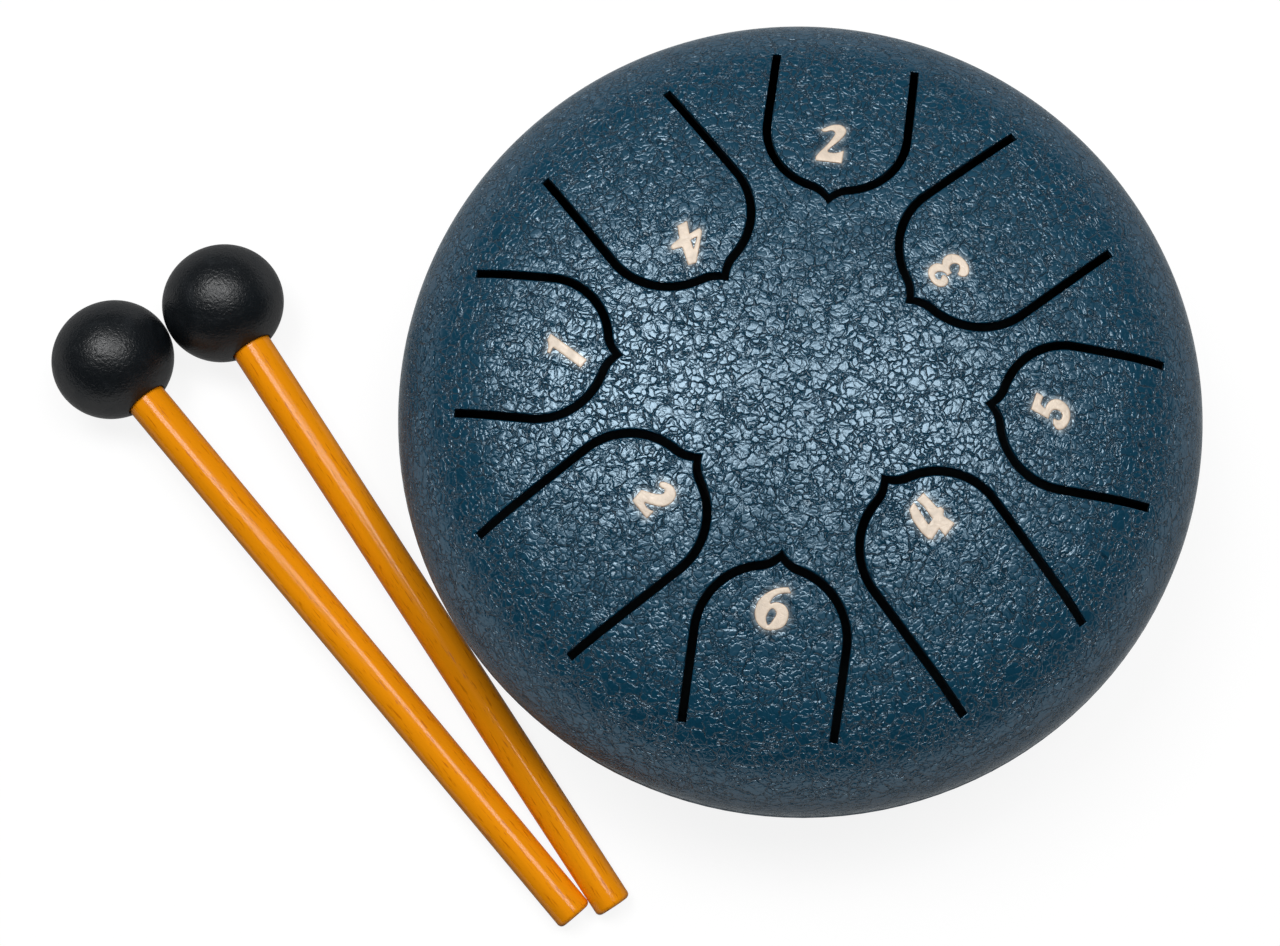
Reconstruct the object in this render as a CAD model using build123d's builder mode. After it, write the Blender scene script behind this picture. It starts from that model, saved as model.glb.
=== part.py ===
from build123d import *
import math
import os
from collections import namedtuple

os.makedirs("parts", exist_ok=True)

# Steel tongue drum with two mallets, in millimetres.
# The drum's axis is Z. The origin is the centre of the sound hole in its base.

# Pressed steel body
sheet = 1.5
shoulder_radius = 25.0
dome_rise = 5.8
bowl_rise = 7.0
rim_border = 11.7
seam_groove = 0.8
seam_bead = 0.15

# Sound hole and feet
hole_diameter = 40.0
hole_clearance = 5.0
foot_diameter = 12.0
foot_circle = 88.0
foot_stem = 5.0
foot_stem_clearance = 0.1
foot_barb = 7.0
foot_barb_length = 3.0
foot_edge = 0.8
foot_start = 30.0
foot_places = ("back_right", "back_left", "front")

# Tongues
slot_width = 1.5
end_flat = 1.0
nib_reach = 2.0
nib_angle = 12.0
nib_slot = 1.3
root_gap = 0.05

# Foil numerals
foil = 0.2
figure_height = 8.0

# Each tongue: the angle of its centre line, then the distance of its tip from the drum's axis,
# its length and half width to the middle of the slot, and where its numeral stands from the tip
Note = namedtuple("Note", "place angle tip length half_width figure along across turn")
notes = (
    Note("right", 0, 33.2, 31.1, 13.2, "five", 11.0, 0.4, 165.5),
    Note("back_right", 45, 23.6, 36.2, 14.0, "three", 9.2, 0.1, 167.0),
    Note("back", 90, 33.8, 28.9, 12.9, "two", 10.9, 0.8, 11.0),
    Note("back_left", 135, 23.4, 36.2, 14.0, "four", 9.5, 1.6, 171.0),
    Note("left", 180, 33.7, 28.3, 13.2, "one", 9.4, 0.2, -22.5),
    Note("front_left", 225, 23.9, 39.1, 13.7, "round_two", 10.9, 1.1, 174.0),
    Note("front", 270, 32.1, 30.7, 13.5, "six", 9.6, -0.3, 190.0),
    Note("front_right", 315, 23.0, 41.0, 13.5, "open_four", 10.5, 2.4, 195.5),
)

# Mallets
head_diameter = 24.7
head_length = 23.6
stick_length = 152.0
stick_top = 8.3
stick_butt = 7.4
seat_depth = {"inner": 7.4, "outer": 6.6}
seat_clearance = 0.05
butt_round = 1.0
inner_heading = -48.5
inner_start = -87.5
rim_space = 0.05
head_bearing = 216.0
head_space = 0.15
butt_bearing = 198.0
butt_space = 0.72

# The longest tongue sets the rim
rim = max(note.tip + note.length for note in notes) + rim_border
dome_height = shoulder_radius + dome_rise
bowl_depth = shoulder_radius + bowl_rise
hole_radius = hole_diameter / 2


def crown_radius(height):
    """Radius of the crown that meets the shoulder smoothly."""
    return (rim**2 - 2 * rim * shoulder_radius + height**2) / (2 * (height - shoulder_radius))


def crown_angle(height):
    """Angle from the axis, in degrees, where the crown meets the shoulder."""
    return math.degrees(math.asin((rim - shoulder_radius) / (crown_radius(height) - shoulder_radius)))


def sheet_height(height, radius, skin=0.0):
    """Height above the rim of a pressing, grown outwards by a skin, at a radius."""
    crown = crown_radius(height)
    if radius <= (crown + skin) * math.sin(math.radians(crown_angle(height))):
        return height - crown + math.sqrt((crown + skin) ** 2 - radius**2)
    return math.sqrt((shoulder_radius + skin) ** 2 - (radius - rim + shoulder_radius) ** 2)


hole_edge = sheet_height(bowl_depth, hole_radius)
equator = (hole_edge + sheet_height(bowl_depth, hole_radius, -sheet)) / 2
table = equator - hole_edge - hole_clearance
dome_plane = Plane(origin=(0, 0, equator), x_dir=(1, 0, 0), z_dir=(0, -1, 0))
bowl_plane = Plane(origin=(0, 0, equator), x_dir=(1, 0, 0), z_dir=(0, 1, 0))


def pressing_section(plane, height, outer, inner):
    """Half section of a pressing between two skins, measured out from its outer surface."""
    crown = crown_radius(height)
    angle = crown_angle(height)
    with BuildSketch(plane) as section:
        with BuildLine():
            for skin in (outer, inner):
                CenterArc((0, height - crown), crown + skin, 90 - angle, angle)
                CenterArc((rim - shoulder_radius, 0), shoulder_radius + skin, 0, 90 - angle)
            Line((0, height + outer), (0, height + inner))
            Line((rim + outer, 0), (rim + inner, 0))
        make_face()
    return section.sketch


def filled_section(plane, height):
    """Half section of a pressing filled to its axis and to the rim plane."""
    crown = crown_radius(height)
    angle = crown_angle(height)
    with BuildSketch(plane) as section:
        with BuildLine():
            CenterArc((0, height - crown), crown, 90 - angle, angle)
            CenterArc((rim - shoulder_radius, 0), shoulder_radius, 0, 90 - angle)
            Polyline((rim, 0), (0, 0), (0, height))
        make_face()
    return section.sketch


def groove_section():
    """Square on its corner that cuts the groove for the weld."""
    side = seam_groove * math.sqrt(2)
    with BuildSketch(dome_plane) as section:
        with Locations((rim, 0)):
            Rectangle(side, side, rotation=45)
    return section.sketch


def tongue_plane(note):
    """Plane of the rim, with X along the tongue."""
    return Plane.XY.offset(equator).rotated((0, 0, note.angle))


def tongue_outline(note, grow, root):
    """Outline of a tongue, or of its window, grown from the middle of the slot."""
    half_width = note.half_width + grow
    radius = half_width - end_flat
    middle = note.tip + nib_reach + note.half_width - end_flat
    bend = math.radians(nib_angle)
    arc_end = (middle - radius * math.cos(bend), end_flat + radius * math.sin(bend))
    with BuildSketch() as outline:
        with BuildLine():
            Line((root, 0), (root, half_width))
            Line((root, half_width), (middle, half_width))
            CenterArc((middle, end_flat), radius, 90, 90 - nib_angle)
            TangentArc(arc_end, (note.tip - grow * nib_slot, 0), tangent=(-math.sin(bend), -math.cos(bend)))
            mirror(about=Plane.XZ)
        make_face()
    return outline.sketch


# Numerals are drawn eight units high about their own middle
drawn_units = 8.0


def figure_one():
    with BuildSketch() as face:
        with BuildLine():
            Line((1.25, 4.05), (0.15, 3.95))
            ThreePointArc((0.15, 3.95), (-0.75, 3.2), (-1.8, 2.85))
            Polyline((-1.8, 2.85), (-1.75, 2.45), (-0.5, 2.5), (-1.4, -3.9), (0.2, -4.1), (1.25, 4.05))
        make_face()
    return face.sketch


def figure_two():
    with BuildSketch() as face:
        with BuildLine():
            Spline((-1.5, 3.1), (0.2, 3.75), (1.5, 3.9), (2.5, 3.45), (2.85, 2.6), (2.4, 1.7), (1.4, 0.7),
                   (-1.0, -1.45))
            ThreePointArc((-1.0, -1.45), (0.8, -1.85), (2.1, -1.45))
            Polyline((2.1, -1.45), (1.55, -3.8), (-3.0, -2.95), (-2.9, -2.4))
            Spline((-2.9, -2.4), (-1.0, -0.4), (0.7, 1.6), (1.0, 2.4), (0.3, 2.95), (-0.7, 2.75), (-1.5, 3.1))
        make_face()
    return face.sketch


def figure_round_two():
    with BuildSketch() as face:
        with BuildLine():
            Spline((-1.9, 2.8), (-0.8, 3.9), (0.25, 4.2), (1.5, 3.75), (2.1, 2.5), (1.85, 1.0), (0.75, -0.3),
                   (-0.6, -1.5))
            ThreePointArc((-0.6, -1.5), (0.8, -1.6), (1.75, -1.0))
            Polyline((1.75, -1.0), (2.1, -2.5), (-1.75, -3.0), (-2.5, -0.8))
            Spline((-2.5, -0.8), (-1.25, 0.25), (-0.15, 1.5), (0.1, 2.35), (-0.4, 2.85), (-1.25, 2.45), (-1.9, 2.8))
        make_face()
    return face.sketch


def figure_three():
    with BuildSketch() as face:
        with BuildLine():
            Spline((-0.9, 1.0), (-1.7, 1.15), (-2.2, 1.9), (-1.9, 2.9), (-1.0, 3.55), (0.1, 3.75), (1.5, 3.35),
                   (2.1, 2.3), (1.3, 0.55))
            Spline((1.3, 0.55), (2.3, 0.05), (2.75, -1.0), (2.25, -2.5), (0.75, -3.4), (-1.0, -3.4), (-1.9, -2.6),
                   (-1.8, -1.8), (-1.1, -1.3))
            Spline((-1.1, -1.3), (-0.6, -1.9), (0.25, -2.25), (1.0, -1.6), (0.95, -0.6), (0.3, -0.1), (-0.4, -0.25))
            Line((-0.4, -0.25), (-0.6, 0.65))
            Spline((-0.6, 0.65), (0.5, 1.25), (0.75, 2.2), (0.1, 2.9), (-0.7, 2.7), (-0.9, 2.1), (-0.4, 1.5),
                   (-0.9, 1.0))
        make_face()
    return face.sketch


def figure_four():
    with BuildSketch() as face:
        with BuildLine():
            Polyline((0.25, 4.15), (1.6, 3.9), (0.9, 0.25), (2.6, -0.1), (2.75, -0.6), (2.2, -0.95), (0.6, -1.25),
                     (-0.25, -3.6), (-2.0, -3.6), (-1.2, -1.15), (-3.4, -1.25), (-3.4, -0.6), (-3.0, 0.0), close=True)
        make_face()
        with BuildLine():
            Polyline((-0.4, 2.1), (-2.5, -0.2), (-0.85, -0.2), close=True)
        make_face(mode=Mode.SUBTRACT)
    return face.sketch


def figure_open_four():
    with BuildSketch() as face:
        with BuildLine():
            Polyline((-1.2, 4.0), (0.2, 4.2), (-1.4, -0.25), (0.1, -0.25), (0.9, 2.5), (1.0, 4.0), (2.6, 3.8),
                     (2.0, 0.3), (2.5, 0.0), (2.5, -0.6), (1.5, -1.25), (1.75, -3.55), (-0.9, -3.6), (-0.5, -1.95),
                     (-2.8, -2.1), (-3.15, -1.6), (-3.0, 0.0), (-2.25, 2.5), close=True)
        make_face()
    return face.sketch


def figure_five():
    with BuildSketch() as face:
        with BuildLine():
            Polyline((-1.3, 0.1), (-1.0, 3.4), (2.1, 3.55), (2.0, 2.4), (0.4, 2.35), (-0.1, 1.0))
            Spline((-0.1, 1.0), (1.3, 0.95), (2.45, 0.0), (2.5, -1.5), (1.6, -2.9), (0.0, -3.5), (-1.7, -3.15),
                   (-2.4, -2.3), (-2.0, -1.4), (-1.0, -1.0))
            Spline((-1.0, -1.0), (-0.55, -2.2), (0.35, -2.15), (0.9, -1.1), (0.6, -0.25), (-0.25, 0.1), (-1.3, 0.1))
        make_face()
    return face.sketch


def figure_six():
    with BuildSketch() as face:
        with BuildLine():
            Line((2.9, 3.65), (3.25, 2.75))
            Spline((3.25, 2.75), (1.3, 2.75), (0.0, 2.0), (-0.6, 0.7))
            Spline((-0.6, 0.7), (0.3, 1.1), (1.4, 1.0), (2.45, 0.1), (2.65, -1.25), (1.9, -2.75), (0.0, -3.45),
                   (-1.8, -3.05), (-2.85, -1.7), (-2.95, 0.0), (-2.15, 1.75), (-0.6, 2.95), (1.3, 3.6), (2.9, 3.65))
        make_face()
        with BuildLine():
            Spline((0.35, 0.15), (0.75, -0.7), (0.25, -1.65), (-0.95, -2.7), (-1.3, -1.75), (-1.0, -0.6), periodic=True)
        make_face(mode=Mode.SUBTRACT)
    return face.sketch


figures = {
    "one": figure_one,
    "two": figure_two,
    "round_two": figure_round_two,
    "three": figure_three,
    "four": figure_four,
    "open_four": figure_open_four,
    "five": figure_five,
    "six": figure_six,
}

# Upper shell with a window for each tongue
with BuildPart() as upper_shell:
    revolve(pressing_section(dome_plane, dome_height, 0, -sheet), axis=Axis.Z)
    for note in notes:
        with BuildSketch(tongue_plane(note)):
            add(tongue_outline(note, slot_width / 2, note.tip + note.length))
    extrude(amount=dome_height + sheet, mode=Mode.SUBTRACT)
    revolve(groove_section(), axis=Axis.Z, mode=Mode.SUBTRACT)
upper_shell.part.label = "upper_shell"
export_step(upper_shell.part, "parts/upper_shell.step")

# Tongues, each parted from the shell by a hairline at its root
for note in notes:
    with BuildPart() as tongue:
        revolve(pressing_section(dome_plane, dome_height, 0, -sheet), axis=Axis.Z)
        with BuildSketch(tongue_plane(note)):
            add(tongue_outline(note, -slot_width / 2, note.tip + note.length - root_gap))
        extrude(amount=dome_height + sheet, mode=Mode.INTERSECT)
    tongue.part.label = "tongue_" + note.place
    export_step(tongue.part, "parts/tongue_" + note.place + ".step")

# Foil numerals, bent to the dome
for note in notes:
    figure = scale(figures[note.figure](), by=figure_height / drawn_units)
    with BuildPart() as number:
        revolve(pressing_section(dome_plane, dome_height, foil, 0), axis=Axis.Z)
        with BuildSketch(tongue_plane(note)):
            with Locations((note.tip + note.along, note.across)):
                add(figure, rotation=note.turn - 90)
        extrude(amount=dome_height + sheet, mode=Mode.INTERSECT)
    number.part.label = "number_" + note.place
    export_step(number.part, "parts/number_" + note.place + ".step")

# Lower shell with the sound hole and the holes for the feet
with BuildPart() as lower_shell:
    revolve(pressing_section(bowl_plane, bowl_depth, 0, -sheet), axis=Axis.Z)
    with BuildSketch(Plane.XY.offset(equator)):
        Circle(hole_radius)
        with PolarLocations(foot_circle / 2, len(foot_places), start_angle=foot_start):
            Circle(foot_stem / 2 + foot_stem_clearance)
    extrude(amount=-bowl_depth - sheet, mode=Mode.SUBTRACT)
    revolve(groove_section(), axis=Axis.Z, mode=Mode.SUBTRACT)
lower_shell.part.label = "lower_shell"
export_step(lower_shell.part, "parts/lower_shell.step")

# Weld bead that fills the groove round the rim
with BuildPart() as seam_weld:
    with BuildSketch(dome_plane):
        with BuildLine():
            Polyline((rim, seam_groove), (rim - seam_groove, 0), (rim, -seam_groove))
            ThreePointArc((rim, -seam_groove), (rim + seam_bead, 0), (rim, seam_groove))
        make_face()
    revolve(axis=Axis.Z)
seam_weld.part.label = "seam_weld"
export_step(seam_weld.part, "parts/seam_weld.step")

# Rubber feet, pushed into the base from below
foot_top = equator - sheet_height(bowl_depth, foot_circle / 2 + foot_diameter / 2)
barb_base = equator - sheet_height(bowl_depth, foot_circle / 2 + foot_barb / 2, -sheet)
barb_taper = math.degrees(math.atan2(foot_barb - foot_stem, 2 * foot_barb_length))
for index, place in enumerate(foot_places):
    foot_angle = foot_start + index * 360 / len(foot_places)
    foot_frame = Plane.XY.rotated((0, 0, foot_angle))
    with BuildPart() as foot:
        with BuildSketch(foot_frame.offset(table)):
            with Locations((foot_circle / 2, 0)):
                Circle(foot_diameter / 2)
        extrude(amount=foot_top - table)
        fillet(foot.faces().sort_by(Axis.Z)[0].edges(), radius=foot_edge)
        revolve(filled_section(bowl_plane, bowl_depth), axis=Axis.Z, mode=Mode.SUBTRACT)
        with BuildSketch(foot_frame.offset(table + foot_edge)):
            with Locations((foot_circle / 2, 0)):
                Circle(foot_stem / 2)
        extrude(amount=barb_base - table)
        with BuildSketch(foot_frame.offset(barb_base)):
            with Locations((foot_circle / 2, 0)):
                Circle(foot_barb / 2)
        extrude(amount=foot_barb_length, taper=barb_taper)
    foot.part.label = "foot_" + place
    export_step(foot.part, "parts/foot_" + place + ".step")

# Mallets lie on the table on the head and on the butt of the stick,
# and each stick runs past the middle of its head by the seat depth.
# A head is a ball pressed a little flat along its stick
head_radius = head_diameter / 2
head_half = head_length / 2
profile_steps = 12
profile_turns = [math.pi * step / profile_steps for step in range(profile_steps + 1)]
head_profile = [(head_half * math.cos(turn), head_radius * math.sin(turn)) for turn in profile_turns]
butt_radius = stick_butt / 2
stick_reach = {place: stick_length - depth for place, depth in seat_depth.items()}


def lean(reach):
    """Slope in radians of a stick that rests on its head and on its butt."""
    return math.asin(head_radius / math.hypot(reach, butt_radius)) - math.atan2(butt_radius, reach)


def bearing(angle, distance):
    """Step in the table plane."""
    return Vector(distance * math.cos(math.radians(angle)), distance * math.sin(math.radians(angle)), 0)


def stick_radius(butt_distance):
    """Radius of the tapered stick at a distance from its butt."""
    return butt_radius + (stick_top - stick_butt) / 2 * butt_distance / stick_length


inner_aside = rim + seam_bead + rim_space + stick_top / 2
inner_head = bearing(inner_heading - 90, inner_aside) + bearing(inner_heading, inner_start)
inner_run = stick_reach["inner"] * math.cos(lean(stick_reach["inner"]))
outer_head = inner_head + bearing(head_bearing, head_diameter + head_space)
outer_butt = inner_head + bearing(inner_heading, inner_run) + bearing(butt_bearing, stick_butt + butt_space)
outer_heading = math.degrees(math.atan2(outer_butt.Y - outer_head.Y, outer_butt.X - outer_head.X))
mallets = {"inner": (inner_head, inner_heading), "outer": (outer_head, outer_heading)}

for place, (spot, heading) in mallets.items():
    reach = stick_reach[place]
    seat_end = -seat_depth[place]
    head_centre = spot + Vector(0, 0, table + head_radius)
    along = bearing(heading, math.cos(lean(reach))) - Vector(0, 0, math.sin(lean(reach)))
    mallet_plane = Plane(origin=head_centre, x_dir=along, z_dir=bearing(heading - 90, 1))
    stick_axis = Axis(head_centre, along)

    with BuildPart() as stick:
        with BuildSketch(mallet_plane):
            with BuildLine():
                Polyline((seat_end, 0), (seat_end, stick_top / 2), (reach, butt_radius), (reach, 0), close=True)
            make_face()
        revolve(axis=stick_axis)
        fillet(stick.faces().sort_by(stick_axis)[-1].edges(), radius=butt_round)
    stick.part.label = "mallet_" + place + "_stick"
    export_step(stick.part, "parts/mallet_" + place + "_stick.step")

    bore_end = seat_end - seat_clearance
    bore_top = stick_top / 2 + seat_clearance
    mouth_radius = stick_radius(reach - head_length) + seat_clearance
    with BuildPart() as head:
        with BuildSketch(mallet_plane):
            with BuildLine():
                Spline(*head_profile, tangents=((0, 1), (0, -1)))
                Line(head_profile[-1], head_profile[0])
            make_face()
            with BuildLine():
                Polyline((bore_end, 0), (bore_end, bore_top), (head_length, mouth_radius), (head_length, 0),
                         close=True)
            make_face(mode=Mode.SUBTRACT)
        revolve(axis=stick_axis)
    head.part.label = "mallet_" + place + "_head"
    export_step(head.part, "parts/mallet_" + place + "_head.step")
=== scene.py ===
import math
from collections import namedtuple

import bmesh
import bpy
import numpy as np
from bpy.props import FloatProperty, FloatVectorProperty, PointerProperty
from mathutils import Matrix, Vector
from mathutils.geometry import delaunay_2d_cdt


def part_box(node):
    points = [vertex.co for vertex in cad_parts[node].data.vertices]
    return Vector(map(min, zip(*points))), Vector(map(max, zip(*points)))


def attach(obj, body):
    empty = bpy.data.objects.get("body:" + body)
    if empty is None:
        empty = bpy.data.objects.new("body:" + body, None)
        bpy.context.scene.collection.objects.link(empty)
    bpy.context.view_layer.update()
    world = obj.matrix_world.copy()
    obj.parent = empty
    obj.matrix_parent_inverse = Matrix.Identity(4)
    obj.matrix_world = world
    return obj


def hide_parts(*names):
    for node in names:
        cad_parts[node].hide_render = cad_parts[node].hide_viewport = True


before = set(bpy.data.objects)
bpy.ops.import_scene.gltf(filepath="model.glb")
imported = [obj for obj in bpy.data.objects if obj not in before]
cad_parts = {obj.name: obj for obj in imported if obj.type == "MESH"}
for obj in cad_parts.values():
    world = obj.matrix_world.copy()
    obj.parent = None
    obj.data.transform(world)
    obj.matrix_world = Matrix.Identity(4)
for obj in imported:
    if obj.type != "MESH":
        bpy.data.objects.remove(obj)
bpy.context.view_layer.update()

bl_info = {
    "name": "Steel Tongue Drum",
    "version": (1, 0, 0),
    "blender": (4, 5, 0),
    "location": "View3D > Sidebar > Tongue Drum",
    "description": "Builds the looks of a steel tongue drum and its two mallets",
    "category": "Object",
}

MM = 0.001
shell_low, shell_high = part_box("upper_shell")
table_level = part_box("foot_front")[0].z

# Each tongue in turn round the drum, in millimetres: the distance of its tip from the drum's axis,
# then its length and half width to the middle of the slot
Tongue = namedtuple("Tongue", "place tip length half_width")
TONGUES = (
    Tongue("right", 33.2, 31.1, 13.2),
    Tongue("back_right", 23.6, 36.2, 14.0),
    Tongue("back", 33.8, 28.9, 12.9),
    Tongue("back_left", 23.4, 36.2, 14.0),
    Tongue("left", 33.7, 28.3, 13.2),
    Tongue("front_left", 23.9, 39.1, 13.7),
    Tongue("front", 32.1, 30.7, 13.5),
    Tongue("front_right", 23.0, 41.0, 13.5),
)
FEET = ("foot_back_right", "foot_back_left", "foot_front")
MALLETS = ("mallet_inner", "mallet_outer")


def length_property(name, description, default):
    """A length in metres that a user can change."""
    return FloatProperty(name=name, description=description, default=default, unit="LENGTH", precision=5)


def angle_property(name, description, degrees):
    """An angle that a user can change."""
    return FloatProperty(name=name, description=description, default=math.radians(degrees), subtype="ANGLE")


def colour_property(name, description, default):
    """A linear colour that a user can change."""
    return FloatVectorProperty(
        name=name, description=description, default=default, subtype="COLOR", size=3, min=0.0, max=1.0
    )


class DrumSizes(bpy.types.PropertyGroup):
    """Sizes of the pressed dome, its slots and its mallets."""

    rim: length_property("Rim", "Radius of the drum at its seam", shell_high.x)
    equator: length_property("Equator", "Height of the seam", shell_low.z)
    dome: length_property("Dome", "Height of the dome above the seam", shell_high.z - shell_low.z)
    shoulder: length_property("Shoulder", "Radius of the bend at the rim", 25.0 * MM)
    sheet: length_property("Sheet", "Thickness of the steel", 1.5 * MM)
    groove: length_property("Groove", "Depth of the groove for the weld", 0.8 * MM)
    bowl: length_property("Bowl", "Depth of the bowl's crown below the seam", 32.0 * MM)
    hole: length_property("Sound hole", "Radius of the hole in the bowl", 20.0 * MM)
    slot: length_property("Slot", "Width of the slots", 1.5 * MM)
    end_flat: length_property("End flat", "Half of the flat at a tongue's end", 1.0 * MM)
    nib_reach: length_property("Nib reach", "How far the nib stands out of a tongue's end", 2.0 * MM)
    nib_angle: angle_property("Nib angle", "Angle at which the nib leaves the round end", 12.0)
    nib_slot: FloatProperty(name="Nib slot", description="Slot at the nib against its width", default=1.3)
    edge_round: length_property("Edge round", "Round of the painted edge of a slot", 0.3 * MM)
    hairline: length_property("Hairline", "Gap at the root of a tongue", 0.02 * MM)
    shell_grid: length_property("Shell grid", "Spacing of the points on the shell", 1.3 * MM)
    tongue_grid: length_property("Tongue grid", "Spacing of the points on a tongue", 0.5 * MM)
    foil: length_property("Foil", "Thickness of a numeral", 0.2 * MM)
    foil_round: length_property("Foil round", "Width of the round edge of a numeral", 0.3 * MM)
    foil_spread: length_property("Foil spread", "How far the foil runs out past its figure", 0.13 * MM)
    foil_grid: length_property("Foil grid", "Spacing of the points on a numeral", 0.17 * MM)
    haze: length_property("Haze", "Reach of the pale haze round a numeral", 1.3 * MM)
    mouth_round: length_property("Mouth round", "Round of the hole in a mallet head", 0.5 * MM)
    butt_round: length_property("Butt round", "Round of the free end of a stick", 1.0 * MM)
    seat: length_property("Seat", "Clearance of a stick in its head", 0.05 * MM)


class DrumColours(bpy.types.PropertyGroup):
    """Colours of the finishes."""

    enamel: colour_property("Enamel", "Blue paint on the raised cells", (0.005, 0.062, 0.116))
    # Painted shade: the crease colour is a darker blue laid into the creases where shade falls
    crease_and_shade: colour_property("Crease", "Blue paint in the creases", (0.001, 0.022, 0.046))
    # Painted shade: the inside colour is near-black, standing in for the shade of the drum's closed space
    inside: colour_property("Inside", "Thin dull paint inside the drum", (0.002, 0.005, 0.008))
    haze: colour_property("Haze", "Film round the numerals", (0.46, 0.51, 0.53))
    foil: colour_property("Foil", "Face of the numerals", (0.90, 0.76, 0.62))
    foil_edge: colour_property("Foil edge", "Edge of the numerals", (0.36, 0.20, 0.10))
    head: colour_property("Head", "Black rubber of the mallet heads", (0.006, 0.008, 0.010))
    foot: colour_property("Foot", "Black rubber of the feet", (0.018, 0.018, 0.018))
    stick: colour_property("Stick", "Lacquered wood of the sticks", (1.0, 0.335, 0.004))
    grain: colour_property("Grain", "Dark grain of the sticks", (0.55, 0.13, 0.001))
    floor: colour_property("Floor", "Pale table", (0.15, 0.15, 0.15))


class DrumStage(bpy.types.PropertyGroup):
    """Camera and light."""

    azimuth: angle_property("Azimuth", "Bearing of the camera from the drum", -75.638)
    elevation: angle_property("Elevation", "Height angle of the camera", 78.854)
    roll: angle_property("Roll", "Turn of the camera about its view", -6.403)
    distance: length_property("Distance", "Distance of the camera from its aim", 0.45)
    lens: FloatProperty(name="Lens", description="Focal length in millimetres", default=66.804)
    aim: FloatVectorProperty(
        name="Aim", description="Point that the camera looks at", default=(-0.028113, -0.015447, 0.030312),
        subtype="TRANSLATION", precision=5,
    )
    key: FloatProperty(name="Key", description="Power of the left softbox in watts", default=8.0)
    fill: FloatProperty(name="Fill", description="Power of the right softbox in watts", default=6.0)
    wall: FloatProperty(name="Wall", description="Light of the pale wall behind the drum", default=0.76)
    room: FloatProperty(name="Room", description="Light of the dim room in front of the drum", default=0.04)


class Wiring:
    """Adds nodes to a node tree and links them."""

    def __init__(self, tree):
        self.tree = tree

    def feed(self, socket, value):
        """Links a socket to a socket, or sets its own value."""
        if isinstance(value, bpy.types.NodeSocket):
            self.tree.links.new(value, socket)
        else:
            socket.default_value = value

    def add(self, kind, inputs=None, **settings):
        """Adds a node with its settings and inputs."""
        node = self.tree.nodes.new(kind)
        for name, value in settings.items():
            setattr(node, name, value)
        for name, value in (inputs or {}).items():
            self.feed(node.inputs[name], value)
        return node

    def calc(self, operation, first, second=0.0, clamp=False):
        """One step of arithmetic."""
        node = self.add("ShaderNodeMath", operation=operation, use_clamp=clamp)
        self.feed(node.inputs[0], first)
        self.feed(node.inputs[1], second)
        return node.outputs[0]

    def vector(self, operation, first, second):
        """One step of arithmetic on a vector."""
        node = self.add("ShaderNodeVectorMath", operation=operation)
        self.feed(node.inputs[0], first)
        self.feed(node.inputs[1], second)
        return node.outputs[0]

    def times(self, vector, factor):
        """A vector made longer or shorter."""
        node = self.add("ShaderNodeVectorMath", operation="SCALE")
        self.feed(node.inputs[0], vector)
        self.feed(node.inputs["Scale"], factor)
        return node.outputs[0]

    def span(self, value, low, high, start=0.0, end=1.0, smooth=True):
        """A value carried from one range to another and held at its ends."""
        node = self.add(
            "ShaderNodeMapRange",
            {"From Min": low, "From Max": high, "To Min": start, "To Max": end},
            interpolation_type="SMOOTHSTEP" if smooth else "LINEAR",
        )
        self.feed(node.inputs["Value"], value)
        return node.outputs["Result"]

    def mix(self, factor, first, second):
        """Two colours mixed."""
        node = self.add("ShaderNodeMix", data_type="RGBA")
        self.feed(node.inputs[0], factor)
        self.feed(node.inputs[6], first)
        self.feed(node.inputs[7], second)
        return node.outputs[2]

    def noise(self, vector, scale, detail=2.0, roughness=0.5, distortion=0.0):
        """A noise texture."""
        inputs = {"Vector": vector, "Scale": scale, "Detail": detail}
        return self.add("ShaderNodeTexNoise", {**inputs, "Roughness": roughness, "Distortion": distortion})

    def cells(self, vector, scale):
        """Distance to the nearest edge of a field of cells."""
        inputs = {"Vector": vector, "Scale": scale}
        return self.add("ShaderNodeTexVoronoi", inputs, feature="DISTANCE_TO_EDGE").outputs["Distance"]

    def attribute(self, name, output="Fac"):
        """A value stored on the mesh."""
        return self.add("ShaderNodeAttribute", attribute_name=name).outputs[output]

    def group(self, tree, inputs):
        """A node group with its own values."""
        return self.add("ShaderNodeGroup", inputs, node_tree=tree)


def rgba(colour, shade=1.0):
    """A colour property as a shader colour."""
    return (colour[0] * shade, colour[1] * shade, colour[2] * shade, 1.0)


def new_group(name, inputs, outputs):
    """An empty shader node group with named sockets, and its wiring."""
    tree = bpy.data.node_groups.new(name, "ShaderNodeTree")
    for socket, kind in inputs:
        tree.interface.new_socket(name=socket, in_out="INPUT", socket_type=kind)
    for socket, kind in outputs:
        tree.interface.new_socket(name=socket, in_out="OUTPUT", socket_type=kind)
    wiring = Wiring(tree)
    return wiring, wiring.add("NodeGroupInput"), wiring.add("NodeGroupOutput")


# Crackle, in shares of a large cell: its bend, the finer cells, the creases and the relief on the cells
CELL_DRIFT = 0.8
CELL_SHAKE = 0.26
SMALL_CELLS = 2.3
SMALL_SHIFT = (7.3, 2.1, 5.7)
TINY_CELLS = 4.7
TINY_SHIFT = (1.9, 8.4, 3.2)
CREASE_WIDTH = 0.085
THIN_WIDTH = 0.13
PLATE_RELIEF = 0.05
SMALL_RELIEF = 0.08
TINY_RELIEF = 0.035
MID_GREY = (0.5, 0.5, 0.5)


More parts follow.
